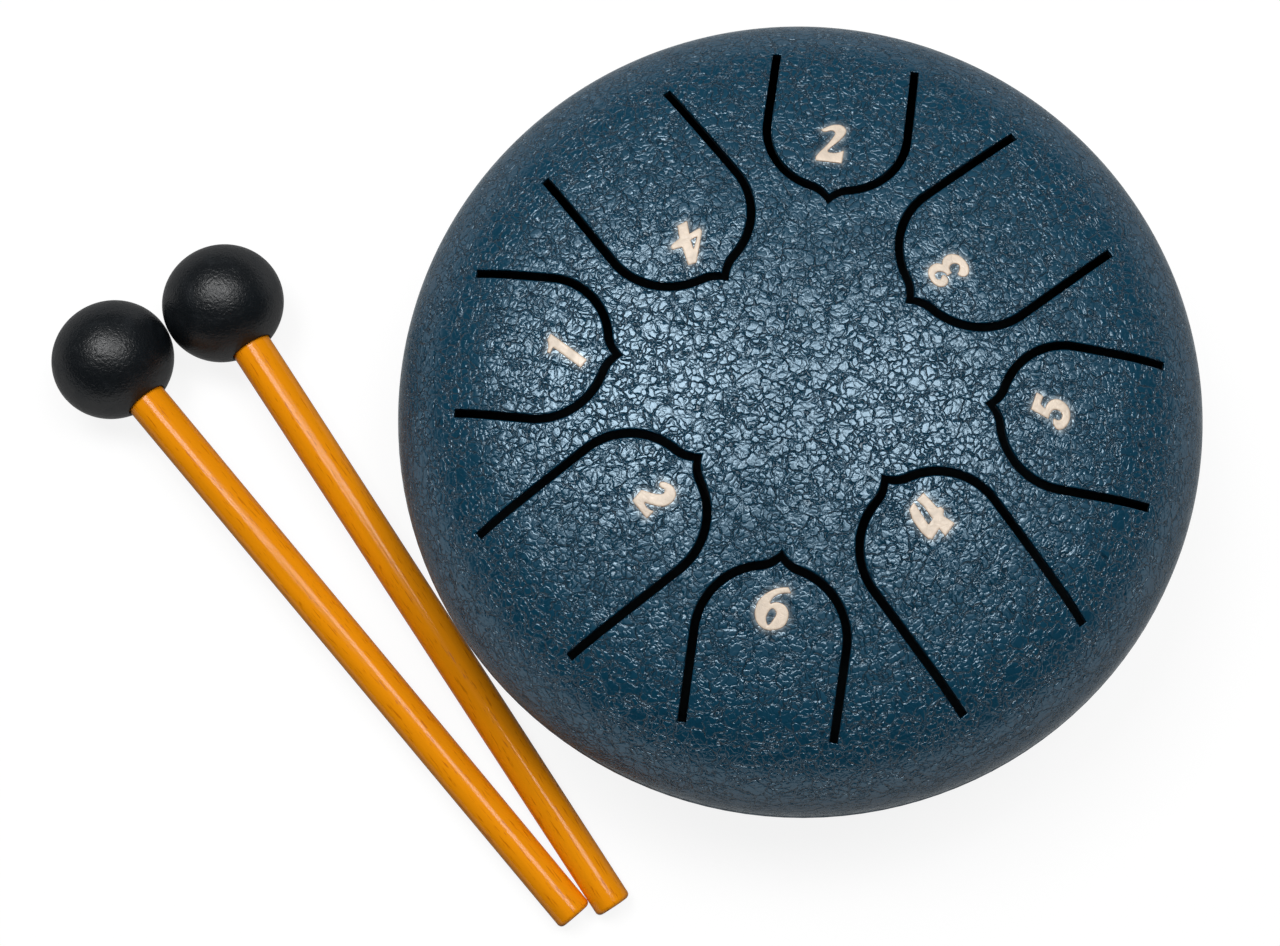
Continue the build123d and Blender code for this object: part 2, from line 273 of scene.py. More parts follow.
def crackle_group():
    """Crackled enamel: flat cells parted by creases, with fine wrinkles on the cells."""
    found = bpy.data.node_groups.get("crackle")
    if found:
        return found
    wiring, given, made = new_group(
        "crackle",
        (("Vector", "NodeSocketVector"), ("Cells per Metre", "NodeSocketFloat")),
        (("Height", "NodeSocketFloat"), ("Crease", "NodeSocketFloat"), ("Patch", "NodeSocketFloat")),
    )
    place = wiring.times(given.outputs["Vector"], given.outputs["Cells per Metre"])
    drift = wiring.noise(place, 0.9, 1.0, 0.5)
    drift = wiring.times(wiring.vector("SUBTRACT", drift.outputs["Color"], MID_GREY), CELL_DRIFT)
    shake = wiring.noise(place, 3.5, 0.0)
    shake = wiring.times(wiring.vector("SUBTRACT", shake.outputs["Color"], MID_GREY), CELL_SHAKE)
    bent = wiring.vector("ADD", wiring.vector("ADD", place, drift), shake)

    large = wiring.cells(bent, 1.0)
    small = wiring.cells(wiring.vector("ADD", bent, SMALL_SHIFT), SMALL_CELLS)
    tiny = wiring.cells(wiring.vector("ADD", bent, TINY_SHIFT), TINY_CELLS)
    patch = wiring.noise(place, 0.8, 1.0, 0.5).outputs["Fac"]
    plate = wiring.noise(bent, 2.2, 2.0, 0.55).outputs["Fac"]
    deep = wiring.span(large, 0.0, CREASE_WIDTH, 1.0, 0.0)
    deep = wiring.calc("MULTIPLY", deep, wiring.span(plate, 0.35, 0.6, 1.0, 0.3))
    thin = wiring.span(small, 0.0, THIN_WIDTH, 1.0, 0.0)
    thin = wiring.calc("MULTIPLY", thin, wiring.span(patch, 0.35, 0.65, 0.1, 0.7))
    crease_and_shade = wiring.calc("MAXIMUM", deep, thin)
    height = wiring.calc("SUBTRACT", wiring.calc("MULTIPLY", plate, PLATE_RELIEF), crease_and_shade)
    height = wiring.calc("ADD", height, wiring.span(small, 0.0, 0.5, 0.0, SMALL_RELIEF))
    height = wiring.calc("ADD", height, wiring.span(tiny, 0.0, 0.4, 0.0, TINY_RELIEF))
    wiring.feed(made.inputs["Height"], height)
    wiring.feed(made.inputs["Crease"], crease_and_shade)
    wiring.feed(made.inputs["Patch"], patch)
    return wiring.tree


def pebble_group():
    """Moulded rubber: a fine orange peel with a few scuffs."""
    found = bpy.data.node_groups.get("pebble")
    if found:
        return found
    wiring, given, made = new_group(
        "pebble",
        (("Vector", "NodeSocketVector"), ("Grains per Metre", "NodeSocketFloat")),
        (("Height", "NodeSocketFloat"), ("Scuff", "NodeSocketFloat")),
    )
    place = wiring.times(given.outputs["Vector"], given.outputs["Grains per Metre"])
    coarse = wiring.noise(place, 0.8, 1.0, 0.5, 0.8).outputs["Fac"]
    fine = wiring.noise(place, 2.2, 1.0, 0.5).outputs["Fac"]
    height = wiring.calc("ADD", coarse, wiring.calc("MULTIPLY", fine, 0.25))
    wiring.feed(made.inputs["Height"], height)
    scuff = wiring.noise(place, 0.12, 4.0, 0.65, 0.4).outputs["Fac"]
    wiring.feed(made.inputs["Scuff"], wiring.span(scuff, 0.45, 0.75))
    return wiring.tree


def empty_material(name):
    """A material without nodes, and its wiring."""
    material = bpy.data.materials.new(name)
    material.use_nodes = True
    material.node_tree.nodes.clear()
    return material, Wiring(material.node_tree)


def new_material(name):
    """A material with its shader, its wiring and the place of each point."""
    material, wiring = empty_material(name)
    shader = wiring.add("ShaderNodeBsdfPrincipled")
    output = wiring.add("ShaderNodeOutputMaterial")
    wiring.feed(output.inputs["Surface"], shader.outputs["BSDF"])
    place = wiring.add("ShaderNodeTexCoord").outputs["Object"]
    return material, wiring, shader, place


def bump(wiring, shader, height, distance):
    """Relief that shades a surface."""
    node = wiring.add("ShaderNodeBump", {"Strength": 1.0, "Distance": distance, "Height": height})
    wiring.feed(shader.inputs["Normal"], node.outputs["Normal"])


# Finishes: cells per metre, tones, roughness, shares of cover and of mirrored light, and relief
SHEEN_INDEX = 4.0
ENAMEL_CELLS = 330.0
ENAMEL_METAL = 0.2
ENAMEL_TONES = (0.85, 1.15)
PLATE_ROUGHNESS = 0.25
CREASE_ROUGHNESS = 0.28
INSIDE_ROUGHNESS = 0.95
HAZE_COVER = 0.75
HAZE_FILL = 0.55
ENAMEL_SHEEN = 0.086
ENAMEL_TINT = (0.84, 0.95, 1.0)
ENAMEL_RELIEF = 0.27 * MM
FOIL_CELLS = 400.0
FOIL_SHADE = 0.82
FOIL_RAGGED = 0.12
FOIL_RELIEF = 0.03 * MM
WOOD_FLECKS = (2400.0, 2400.0, 240.0)
WOOD_BANDS = (260.0, 260.0, 14.0)
WOOD_SHADE = 0.88
FLECK_COVER = 0.7
WOOD_SHEEN = 0.018
WOOD_RELIEF = 0.012 * MM
WORN_ROUGHNESS = 0.12


def set_sheen(shader, share, tint=(1.0, 1.0, 1.0)):
    """Lets a surface mirror an even share of the light at all but the flattest angles."""
    full = ((SHEEN_INDEX - 1) / (SHEEN_INDEX + 1)) ** 2
    shader.inputs["IOR"].default_value = SHEEN_INDEX
    shader.inputs["Specular Tint"].default_value = rgba(tint, share / full)


def enamel_material():
    """Crackled blue enamel, hazed round the numerals."""
    found = bpy.data.materials.get("crackled_enamel")
    if found:
        return found
    colours = bpy.context.scene.drum_colours
    material, wiring, shader, place = new_material("crackled_enamel")
    crackle = wiring.group(crackle_group(), {"Vector": place, "Cells per Metre": ENAMEL_CELLS})
    haze = wiring.attribute("haze")
    mottle = wiring.noise(place, 900.0, 3.0, 0.6).outputs["Fac"]
    haze = wiring.calc("MULTIPLY", haze, wiring.span(mottle, 0.25, 0.7, 0.25, 1.0), clamp=True)

    dark, light = (rgba(colours.enamel, shade) for shade in ENAMEL_TONES)
    tone = wiring.mix(crackle.outputs["Patch"], dark, light)
    # Painted shade: the creases are mixed towards the darker crease colour
    colour = wiring.mix(crackle.outputs["Crease"], tone, rgba(colours.crease_and_shade))
    colour = wiring.mix(wiring.calc("MULTIPLY", haze, HAZE_COVER), colour, rgba(colours.haze))
    shaded_inside = wiring.attribute("inside")
    # Painted shade: the inner skin is mixed towards the near-black inside colour
    wiring.feed(shader.inputs["Base Color"], wiring.mix(shaded_inside, colour, rgba(colours.inside)))
    crease_and_shade = crackle.outputs["Crease"]
    rough = wiring.span(crease_and_shade, 0.0, 1.0, PLATE_ROUGHNESS, CREASE_ROUGHNESS, smooth=False)
    rough = wiring.calc("MAXIMUM", rough, wiring.calc("MULTIPLY", shaded_inside, INSIDE_ROUGHNESS))
    wiring.feed(shader.inputs["Roughness"], rough)
    flat = wiring.calc("MAXIMUM", wiring.calc("MULTIPLY", haze, HAZE_FILL), shaded_inside)
    relief = wiring.calc("MULTIPLY", crackle.outputs["Height"], wiring.calc("SUBTRACT", 1.0, flat))
    shader.inputs["Metallic"].default_value = ENAMEL_METAL
    set_sheen(shader, ENAMEL_SHEEN, ENAMEL_TINT)
    bump(wiring, shader, relief, ENAMEL_RELIEF)
    return material


def foil_material():
    """Cream foil of the numerals, brown along its cut edge."""
    found = bpy.data.materials.get("cream_foil")
    if found:
        return found
    colours = bpy.context.scene.drum_colours
    material, wiring, shader, place = new_material("cream_foil")
    crackle = wiring.group(crackle_group(), {"Vector": place, "Cells per Metre": FOIL_CELLS})
    inward = wiring.attribute("inward")
    cloud = wiring.noise(place, 420.0, 3.0, 0.6).outputs["Fac"]
    face = wiring.mix(wiring.span(cloud, 0.35, 0.7), rgba(colours.foil), rgba(colours.foil, FOIL_SHADE))
    ragged = wiring.noise(place, 2600.0, 2.0, 0.6).outputs["Fac"]
    ragged = wiring.span(ragged, 0.0, 1.0, -FOIL_RAGGED, FOIL_RAGGED, smooth=False)
    edge = wiring.calc("ADD", inward, ragged)
    edge = wiring.span(edge, 0.08, 0.42, 1.0, 0.0)
    wiring.feed(shader.inputs["Base Color"], wiring.mix(edge, face, rgba(colours.foil_edge)))
    wiring.feed(shader.inputs["Roughness"], wiring.span(cloud, 0.3, 0.7, 0.28, 0.42))
    bump(wiring, shader, crackle.outputs["Height"], FOIL_RELIEF)
    return material


def rubber_material(name, colour, grains, relief, rough, shine, worn):
    """Black moulded rubber."""
    found = bpy.data.materials.get(name)
    if found:
        return found
    material, wiring, shader, place = new_material(name)
    pebble = wiring.group(pebble_group(), {"Vector": place, "Grains per Metre": grains})
    scuff = pebble.outputs["Scuff"]
    wiring.feed(shader.inputs["Base Color"], wiring.mix(scuff, rgba(colour), rgba(colour, worn)))
    rough = wiring.span(scuff, 0.0, 1.0, rough, rough + WORN_ROUGHNESS, smooth=False)
    wiring.feed(shader.inputs["Roughness"], rough)
    set_sheen(shader, shine)
    bump(wiring, shader, pebble.outputs["Height"], relief)
    return material


def wood_material():
    """Orange lacquered wood, its grain along the stick."""
    found = bpy.data.materials.get("lacquered_wood")
    if found:
        return found
    colours = bpy.context.scene.drum_colours
    material, wiring, shader, _ = new_material("lacquered_wood")
    place = wiring.attribute("turned", "Vector")
    long = wiring.vector("MULTIPLY", place, WOOD_FLECKS)
    wide = wiring.vector("MULTIPLY", place, WOOD_BANDS)
    band = wiring.noise(wide, 1.0, 3.0, 0.6, 0.4).outputs["Fac"]
    fleck = wiring.span(wiring.noise(long, 1.0, 2.0, 0.6).outputs["Fac"], 0.58, 0.70)
    colour = wiring.mix(wiring.span(band, 0.3, 0.75), rgba(colours.stick), rgba(colours.stick, WOOD_SHADE))
    colour = wiring.mix(wiring.calc("MULTIPLY", fleck, FLECK_COVER), colour, rgba(colours.grain))
    wiring.feed(shader.inputs["Base Color"], colour)
    wiring.feed(shader.inputs["Roughness"], wiring.span(fleck, 0.0, 1.0, 0.15, 0.26, smooth=False))
    set_sheen(shader, WOOD_SHEEN)
    bump(wiring, shader, wiring.noise(long, 0.8, 2.0, 0.5).outputs["Fac"], WOOD_RELIEF)
    return material


def crown_radius(sizes, height):
    """Radius of a pressing's crown that meets the shoulder smoothly."""
    rim = sizes.rim
    return (rim**2 - 2 * rim * sizes.shoulder + height**2) / (2 * (height - sizes.shoulder))


def skin_height(sizes, flat, skin=0.0):
    """Height of the dome, grown outwards by a skin, over points of the rim plane."""
    radius = np.hypot(flat[:, 0], flat[:, 1])
    crown = crown_radius(sizes, sizes.dome)
    reach = (sizes.rim - sizes.shoulder) / (crown - sizes.shoulder) * (crown + skin)
    over_crown = sizes.dome - crown + np.sqrt(np.maximum((crown + skin) ** 2 - radius**2, 0.0))
    bend = (sizes.shoulder + skin) ** 2 - (radius - sizes.rim + sizes.shoulder) ** 2
    return sizes.equator + np.where(radius <= reach, over_crown, np.sqrt(np.maximum(bend, 0.0)))


def skin_normal(sizes, flat):
    """Outward direction of the dome over points of the rim plane."""
    radius = np.maximum(np.hypot(flat[:, 0], flat[:, 1]), 1e-9)
    crown = crown_radius(sizes, sizes.dome)
    reach = (sizes.rim - sizes.shoulder) / (crown - sizes.shoulder) * crown
    lean = np.where(radius <= reach, radius / crown, (radius - sizes.rim + sizes.shoulder) / sizes.shoulder)
    lean = np.clip(lean, 0.0, 1.0)
    return np.column_stack((flat[:, 0] / radius * lean, flat[:, 1] / radius * lean, np.sqrt(1 - lean**2)))


STRAIGHT_STEPS = 30
ARC_STEPS = 30
NIB_STEPS = 10
ROOT_STEPS = 24
SLOT_END_STEPS = 4

# Shares of a spacing or a distance within which points next to an outline are left out
EDGE_MARGIN = 0.55
SPREAD_MARGIN = 0.93


def even_line(start, end, steps):
    """Evenly spaced points from start towards end, without the end."""
    share = np.arange(steps)[:, None] / steps
    return np.array(start) * (1 - share) + np.array(end) * share


def half_outline(sizes, tongue, grow, root):
    """One side of a tongue's outline, from its root to the nib on the centre line."""
    half = tongue.half_width * MM + grow
    radius = half - sizes.end_flat
    middle = tongue.tip * MM + sizes.nib_reach + tongue.half_width * MM - sizes.end_flat
    turn = np.linspace(math.pi / 2, math.pi - sizes.nib_angle, ARC_STEPS, endpoint=False)
    arc = np.column_stack((middle + radius * np.cos(turn), sizes.end_flat + radius * np.sin(turn)))
    bend = sizes.nib_angle
    start = np.array((middle - radius * math.cos(bend), sizes.end_flat + radius * math.sin(bend)))
    nib = np.array((tongue.tip * MM - grow * sizes.nib_slot, 0.0))
    aside = np.array((math.cos(bend), -math.sin(bend)))
    chord = nib - start
    swing = chord @ chord / (2 * (chord @ aside))
    centre = start + swing * aside
    first = math.atan2(*(start - centre)[::-1])
    last = math.atan2(*(nib - centre)[::-1])
    sweep = (last - first + math.pi) % (2 * math.pi) - math.pi
    turn = first + sweep * np.linspace(0.0, 1.0, NIB_STEPS)
    hook = centre + abs(swing) * np.column_stack((np.cos(turn), np.sin(turn)))
    return np.vstack((even_line((root, half), (middle, half), STRAIGHT_STEPS), arc, hook))


def both_sides(half):
    """A half outline and its mirror image, one after the other."""
    return np.vstack((half, half[-2::-1] * (1, -1)))


def turned(points, angle):
    """Points of the rim plane turned about the drum's axis."""
    cos, sin = math.cos(angle), math.sin(angle)
    return points @ np.array(((cos, sin), (-sin, cos)))


def tongue_loop(sizes, tongue, inset):
    """Closed outline of a tongue, drawn in from its edge."""
    root = (tongue.tip + tongue.length) * MM - sizes.hairline
    half = tongue.half_width * MM - sizes.slot / 2 - inset
    side = both_sides(half_outline(sizes, tongue, -sizes.slot / 2 - inset, root))
    return np.vstack((side, even_line((root, -half), (root, half), ROOT_STEPS)[1:]))


def window_loop(sizes, tongue, outset):
    """Closed outline of the window round a tongue, drawn out from its edge."""
    root = (tongue.tip + tongue.length) * MM
    near = tongue.half_width * MM - sizes.slot / 2 - outset
    far = tongue.half_width * MM + sizes.slot / 2 + outset
    end = even_line((root + outset, near), (root + outset, far), SLOT_END_STEPS)
    half = np.vstack(((root, near), end, half_outline(sizes, tongue, sizes.slot / 2 + outset, root + outset)))
    return np.vstack((both_sides(half), even_line((root, -near), (root, near), ROOT_STEPS)[1:]))


def inside(points, loop):
    """Which points lie inside a closed outline."""
    result = np.zeros(len(points), bool)
    ends = np.roll(loop, -1, axis=0)
    for (ax, ay), (bx, by) in zip(loop, ends):
        if ay != by:
            crosses = (points[:, 1] < ay) != (points[:, 1] < by)
            result ^= crosses & (points[:, 0] < (bx - ax) * (points[:, 1] - ay) / (by - ay) + ax)
    return result


def within(points, outer, holes):
    """Which points lie inside an outline and outside its holes."""
    result = inside(points, outer)
    for hole in holes:
        result &= ~inside(points, hole)
    return result


def gap_to(points, loops):
    """Distance of points from the nearest of some closed outlines."""
    nearest = np.full(len(points), np.inf)
    for loop in loops:
        ends = np.roll(loop, -1, axis=0)
        for start, end in zip(loop, ends):
            run = end - start
            share = np.clip((points - start) @ run / max(run @ run, 1e-18), 0.0, 1.0)
            away = points - start - share[:, None] * run
            nearest = np.minimum(nearest, np.einsum("ij,ij->i", away, away))
    return np.sqrt(nearest)


def filled(outer, holes, spacing):
    """Triangles that fill an outline with holes, evenly. The outlines' points come first and in order."""
    low, high = outer.min(axis=0), outer.max(axis=0)
    rows = np.arange(low[1], high[1], spacing * math.sqrt(3) / 2)
    columns = np.arange(low[0], high[0], spacing)
    grid = np.array([(x + spacing / 2 * (row % 2), y) for row, y in enumerate(rows) for x in columns])
    loops = [outer] + list(holes)
    grid = grid[within(grid, outer, holes)]
    grid = grid[gap_to(grid, loops) > spacing * EDGE_MARGIN]
    points = np.vstack(loops + [grid])
    edges = []
    start = 0
    for loop in loops:
        count = len(loop)
        edges += [(start + k, start + (k + 1) % count) for k in range(count)]
        start += count
    flat = [Vector(point) for point in points / MM]
    found, _, faces, origins, _, _ = delaunay_2d_cdt(flat, edges, [], 1, 1e-7)
    if len(found) != len(points):
        raise RuntimeError("an outline crosses itself")
    number = [origin[0] for origin in origins]
    faces = np.array([[number[corner] for corner in face] for face in faces])
    faces = faces[within(points[faces].mean(axis=1), outer, holes)]
    a, b, c = (points[faces[:, k]] for k in range(3))
    flipped = (b - a)[:, 0] * (c - a)[:, 1] - (b - a)[:, 1] * (c - a)[:, 0] < 0
    faces[flipped] = faces[flipped][:, ::-1]
    return points, faces


def store(mesh, name, kind, field, values):
    """Keeps a value for each point of a mesh."""
    layer = mesh.attributes.new(name, kind, "POINT")
    layer.data.foreach_set(field, np.asarray(values, np.float32).ravel())


def add_object(name, mesh, material):
    """Puts a mesh with its finish into the scene."""
    mesh.materials.append(material)
    piece = bpy.data.objects.new(name, mesh)
    bpy.context.scene.collection.objects.link(piece)
    return piece


class Surface:
    """Collects points, faces and the direction of the surface at each corner."""

    def __init__(self):
        self.points = []
        self.faces = []
        self.normals = []

    def add_points(self, points):
        """Adds points and returns their numbers."""
        start = len(self.points)
        self.points.extend(map(tuple, points))
        return np.arange(start, len(self.points))

    def add_faces(self, faces, normals, numbers):
        """Adds faces, with a direction for each point that they name."""
        for face in faces:
            self.faces.append([int(numbers[k]) for k in face])
            self.normals.extend(tuple(normals[k]) for k in face)

    def add_band(self, upper, lower, upper_normals, lower_normals):
        """Joins two closed rings of points."""
        count = len(upper)
        for k in range(count):
            after = (k + 1) % count
            self.faces.append([int(upper[k]), int(lower[k]), int(lower[after]), int(upper[after])])
            corners = (upper_normals[k], lower_normals[k], lower_normals[after], upper_normals[after])
            self.normals.extend(map(tuple, corners))

    def build(self, name, material, attributes):
        """Makes the object, with values for its points."""
        mesh = bpy.data.meshes.new(name)
        mesh.from_pydata(self.points, [], self.faces)
        mesh.shade_smooth()
        mesh.normals_split_custom_set(self.normals)
        for key, values in attributes.items():
            store(mesh, key, "FLOAT", "value", values)
        return add_object(name, mesh, material)


# Share of the edge's round by which a wall stands back from the slot
WALL_SHARE = 0.03


def edge_rings(sizes):
    """Offsets from the edge and depths of the rings that round a slot's edge, then the wall's foot."""
    turn = sizes.edge_round
    near = WALL_SHARE * turn
    corner = 1 - math.sqrt(0.5)
    return ((turn, 0.0), (turn * corner, turn * corner), (near, turn), (near, None))


def raised(sizes, flat, depth):
    """Points of the rim plane set on the dome, sunk by a depth, or on its inner skin."""
    if depth is None:
        height = skin_height(sizes, flat, -sizes.sheet)
    else:
        height = skin_height(sizes, flat) - depth
    return np.column_stack((flat, height))


def side_normals(loop, sign):
    """Level directions out of a closed outline, or into it."""
    run = np.roll(loop, -1, axis=0) - np.roll(loop, 1, axis=0)
    run /= np.maximum(np.linalg.norm(run, axis=1), 1e-12)[:, None]
    return np.column_stack((run[:, 1], -run[:, 0], np.zeros(len(loop)))) * sign


def round_edge(surface, sizes, loops, first_ring, sign):
    """Adds the rounded edge and the wall below an outline and returns the ring at the wall's foot."""
    rings = [first_ring]
    normals = [skin_normal(sizes, loops[0])]
    aside = [side_normals(loop, sign) for loop in loops]
    for number, (_, depth) in enumerate(edge_rings(sizes)[1:], start=1):
        rings.append(surface.add_points(raised(sizes, loops[number], depth)))
        normals.append(aside[number])
    middle = normals[0] + aside[1]
    normals[1] = middle / np.linalg.norm(middle, axis=1)[:, None]
    for upper in range(len(rings) - 1):
        pair = (rings[upper], rings[upper + 1], normals[upper], normals[upper + 1])
        if sign > 0:
            surface.add_band(*pair)
        else:
            surface.add_band(*(ring[::-1] for ring in pair))
    return rings[-1]


def counter_clockwise(loop):
    """The same closed outline, run counter-clockwise."""
    ahead = np.roll(loop, -1, axis=0)
    area = np.sum(loop[:, 0] * ahead[:, 1] - ahead[:, 0] * loop[:, 1])
    return loop if area > 0 else loop[::-1]


LATHE_STEPS = 480
SHOULDER_STEPS = 14
DISC_EDGE = 67.0 * MM
INNER_GRID = 5.0 * MM


def inner_side(sizes, points):
    """Marks the points of a dome's or tongue's inner skin."""
    points = np.array(points)
    return np.where(points[:, 2] < skin_height(sizes, points[:, :2]) - sizes.sheet / 2, 1.0, 0.0)


def circle(radius):
    """Points of the rim plane round the drum's axis."""
    turn = np.linspace(0.0, 2 * math.pi, LATHE_STEPS, endpoint=False)
    return radius * np.column_stack((np.cos(turn), np.sin(turn)))


def ring(across, level):
    """Points round the drum's axis at a level, or directions that lean alike."""
    return np.hstack((circle(across), np.full((LATHE_STEPS, 1), level)))


def placed(loop, index):
    """A tongue's or window's outline turned to its place round the drum."""
    return counter_clockwise(turned(loop, index * 2 * math.pi / len(TONGUES)))


def build_upper_shell(sizes, material):
    """The dome with a window for each tongue."""
    surface = Surface()
    windows = [
        [placed(window_loop(sizes, tongue, outset), index) for outset, _ in edge_rings(sizes)]
        for index, tongue in enumerate(TONGUES)
    ]
    edge = circle(DISC_EDGE)

    flat, faces = filled(edge, [loops[0] for loops in windows], sizes.shell_grid)
    top = surface.add_points(raised(sizes, flat, 0.0))
    surface.add_faces(faces, skin_normal(sizes, flat), top)
    inner_flat, inner_faces = filled(edge, [loops[-1] for loops in windows], INNER_GRID)
    inner = np.full(len(inner_flat), -1)
    start = LATHE_STEPS
    for loops in windows:
        count = len(loops[0])
        foot = round_edge(surface, sizes, loops, top[start : start + count], -1)
        inner[start : start + count] = foot
        start += count
    inner[:LATHE_STEPS] = surface.add_points(raised(sizes, inner_flat[:LATHE_STEPS], None))
    inner[start:] = surface.add_points(raised(sizes, inner_flat[start:], None))
    surface.add_faces(inner_faces[:, ::-1], -skin_normal(sizes, inner_flat), inner)

    # Outer shoulder down to the weld groove, then the inner shoulder back up
    lean = math.asin((DISC_EDGE - sizes.rim + sizes.shoulder) / sizes.shoulder)
    stop = math.acos(sizes.groove / sizes.shoulder)
    above, normals = top[:LATHE_STEPS], skin_normal(sizes, edge)
    middle = sizes.rim - sizes.shoulder
    for turn in np.linspace(lean, stop, SHOULDER_STEPS + 1)[1:]:
        facing = ring(math.sin(turn), math.cos(turn))
        level = sizes.equator + sizes.shoulder * math.cos(turn)
        below = surface.add_points(ring(middle + sizes.shoulder * math.sin(turn), level))
        surface.add_band(above, below, normals, facing)
        above, normals = below, facing
    groove = surface.add_points(ring(sizes.rim - sizes.groove, sizes.equator))
    slant = ring(math.sqrt(0.5), -math.sqrt(0.5))
    surface.add_band(above, groove, slant, slant)
    down = ring(0.0, -1.0)
    lip = surface.add_points(ring(sizes.rim - sizes.sheet, sizes.equator))
    surface.add_band(groove, lip, down, down)
    above, normals = lip, ring(-1.0, 0.0)
    bend = sizes.shoulder - sizes.sheet
    lean = math.asin((DISC_EDGE - middle) / bend)
    for turn in np.linspace(math.pi / 2, lean, SHOULDER_STEPS + 1)[1:]:
        facing = ring(-math.sin(turn), -math.cos(turn))
        if turn > lean:
            level = sizes.equator + bend * math.cos(turn)
            below = surface.add_points(ring(middle + bend * math.sin(turn), level))
        else:
            below = inner[:LATHE_STEPS]
        surface.add_band(above, below, normals, facing)
        above, normals = below, facing
    return surface.build("dome", material, {"inside": inner_side(sizes, surface.points)})


JOIN_DISTANCE = 0.001 * MM
TOP_FACING = 0.5
HAZE_FALL = 1.5


def numeral_loops(node):
    """Outlines of a numeral's top face in the rim plane, the largest first."""
    work = bmesh.new()
    work.from_mesh(node.data)
    bmesh.ops.remove_doubles(work, verts=work.verts, dist=JOIN_DISTANCE)
    top = {face for face in work.faces if face.normal.z > TOP_FACING}
    rim = [edge for edge in work.edges if sum(face in top for face in edge.link_faces) == 1]
    ahead = {}
    for edge in rim:
        face = next(face for face in edge.link_faces if face in top)
        corner = next(loop for loop in face.loops if loop.edge == edge)
        ahead[corner.vert] = corner.link_loop_next.vert
    loops = []
    while ahead:
        vertex = next(iter(ahead))
        loop = []
        while vertex in ahead:
            loop.append((vertex.co.x, vertex.co.y))
            vertex = ahead.pop(vertex)
        loops.append(np.array(loop))
    work.free()
    return sorted(loops, key=lambda loop: -np.ptp(loop, axis=0).sum())


def build_tongue(sizes, index, tongue, material):
    """One tongue, with the haze of its numeral."""
    loops = [placed(tongue_loop(sizes, tongue, inset), index) for inset, _ in edge_rings(sizes)]
    surface = Surface()
    flat, faces = filled(loops[0], [], sizes.tongue_grid)
    top = surface.add_points(raised(sizes, flat, 0.0))
    surface.add_faces(faces, skin_normal(sizes, flat), top)
    count = len(loops[0])
    foot = round_edge(surface, sizes, loops, top[:count], 1)
    inner_flat, inner_faces = filled(loops[-1], [], INNER_GRID)
    middle = surface.add_points(raised(sizes, inner_flat[count:], None))
    surface.add_faces(inner_faces[:, ::-1], -skin_normal(sizes, inner_flat), np.concatenate((foot, middle)))

    figure = numeral_loops(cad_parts["number_" + tongue.place])
    points = np.array(surface.points)
    near = gap_to(points[:, :2], figure)
    covered = within(points[:, :2], figure[0], figure[1:])
    haze = np.where(covered, 1.0, np.clip(1 - near / sizes.haze, 0.0, 1.0) ** HAZE_FALL)
    inner = inner_side(sizes, points)
    marks = {"haze": haze * (1 - inner), "inside": inner}
    return surface.build("spring_tongue_" + tongue.place, material, marks)


# Shares of the foil's thickness: its height at the edge, and how far it is pressed into the paint
FOIL_EDGE = 0.15
FOIL_SINK = 0.2


def evened(loop, spacing):
    """The same closed outline with its long runs divided."""
    points = []
    for start, end in zip(loop, np.roll(loop, -1, axis=0)):
        steps = max(1, int(np.linalg.norm(end - start) / spacing))
        points.append(even_line(start, end, steps))
    return np.vstack(points)


def spread_out(loops, distance):
    """Closed outlines moved out of what they enclose, without the points that fall too near to them again."""
    moved = [loop + side_normals(loop, distance)[:, :2] for loop in loops]
    return [loop[gap_to(loop, loops) > SPREAD_MARGIN * distance] for loop in moved]


def build_numeral(sizes, tongue, material):
    """A foil numeral with a rounded edge, laid on its tongue."""
    figure = numeral_loops(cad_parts["number_" + tongue.place])
    figure = [evened(loop, sizes.foil_grid) for loop in figure]
    loops = [evened(loop, sizes.foil_grid) for loop in spread_out(figure, sizes.foil_spread)]
    flat, faces = filled(loops[0], loops[1:], sizes.foil_grid)
    inward = np.clip(gap_to(flat, loops) / sizes.foil_round, 0.0, 1.0)
    swell = np.sqrt(1 - (1 - inward) ** 2)
    base = skin_height(sizes, flat)
    surface = Surface()
    rise = FOIL_EDGE + (1 - FOIL_EDGE) * swell
    top = surface.add_points(np.column_stack((flat, base + sizes.foil * rise)))
    under = surface.add_points(np.column_stack((flat, base - sizes.foil * FOIL_SINK)))
    facing = skin_normal(sizes, flat)
    work = np.array(surface.points)[top]
    corner = np.cross(work[faces[:, 1]] - work[faces[:, 0]], work[faces[:, 2]] - work[faces[:, 0]])
    tilt = np.zeros_like(work)
    for side in range(3):
        np.add.at(tilt, faces[:, side], corner)
    tilt /= np.linalg.norm(tilt, axis=1)[:, None]
    surface.add_faces(faces, tilt, top)
    surface.add_faces(faces[:, ::-1], -facing, under)
    start = 0
    for loop in loops:
        count = len(loop)
        edge = slice(start, start + count)
        aside = side_normals(loop, 1.0)
        surface.add_band(top[edge], under[edge], aside, aside)
        start += count
    return surface.build("numeral_" + tongue.place, material, {"inward": np.concatenate((inward, inward))})


SHARP_ANGLE = math.radians(50.0)


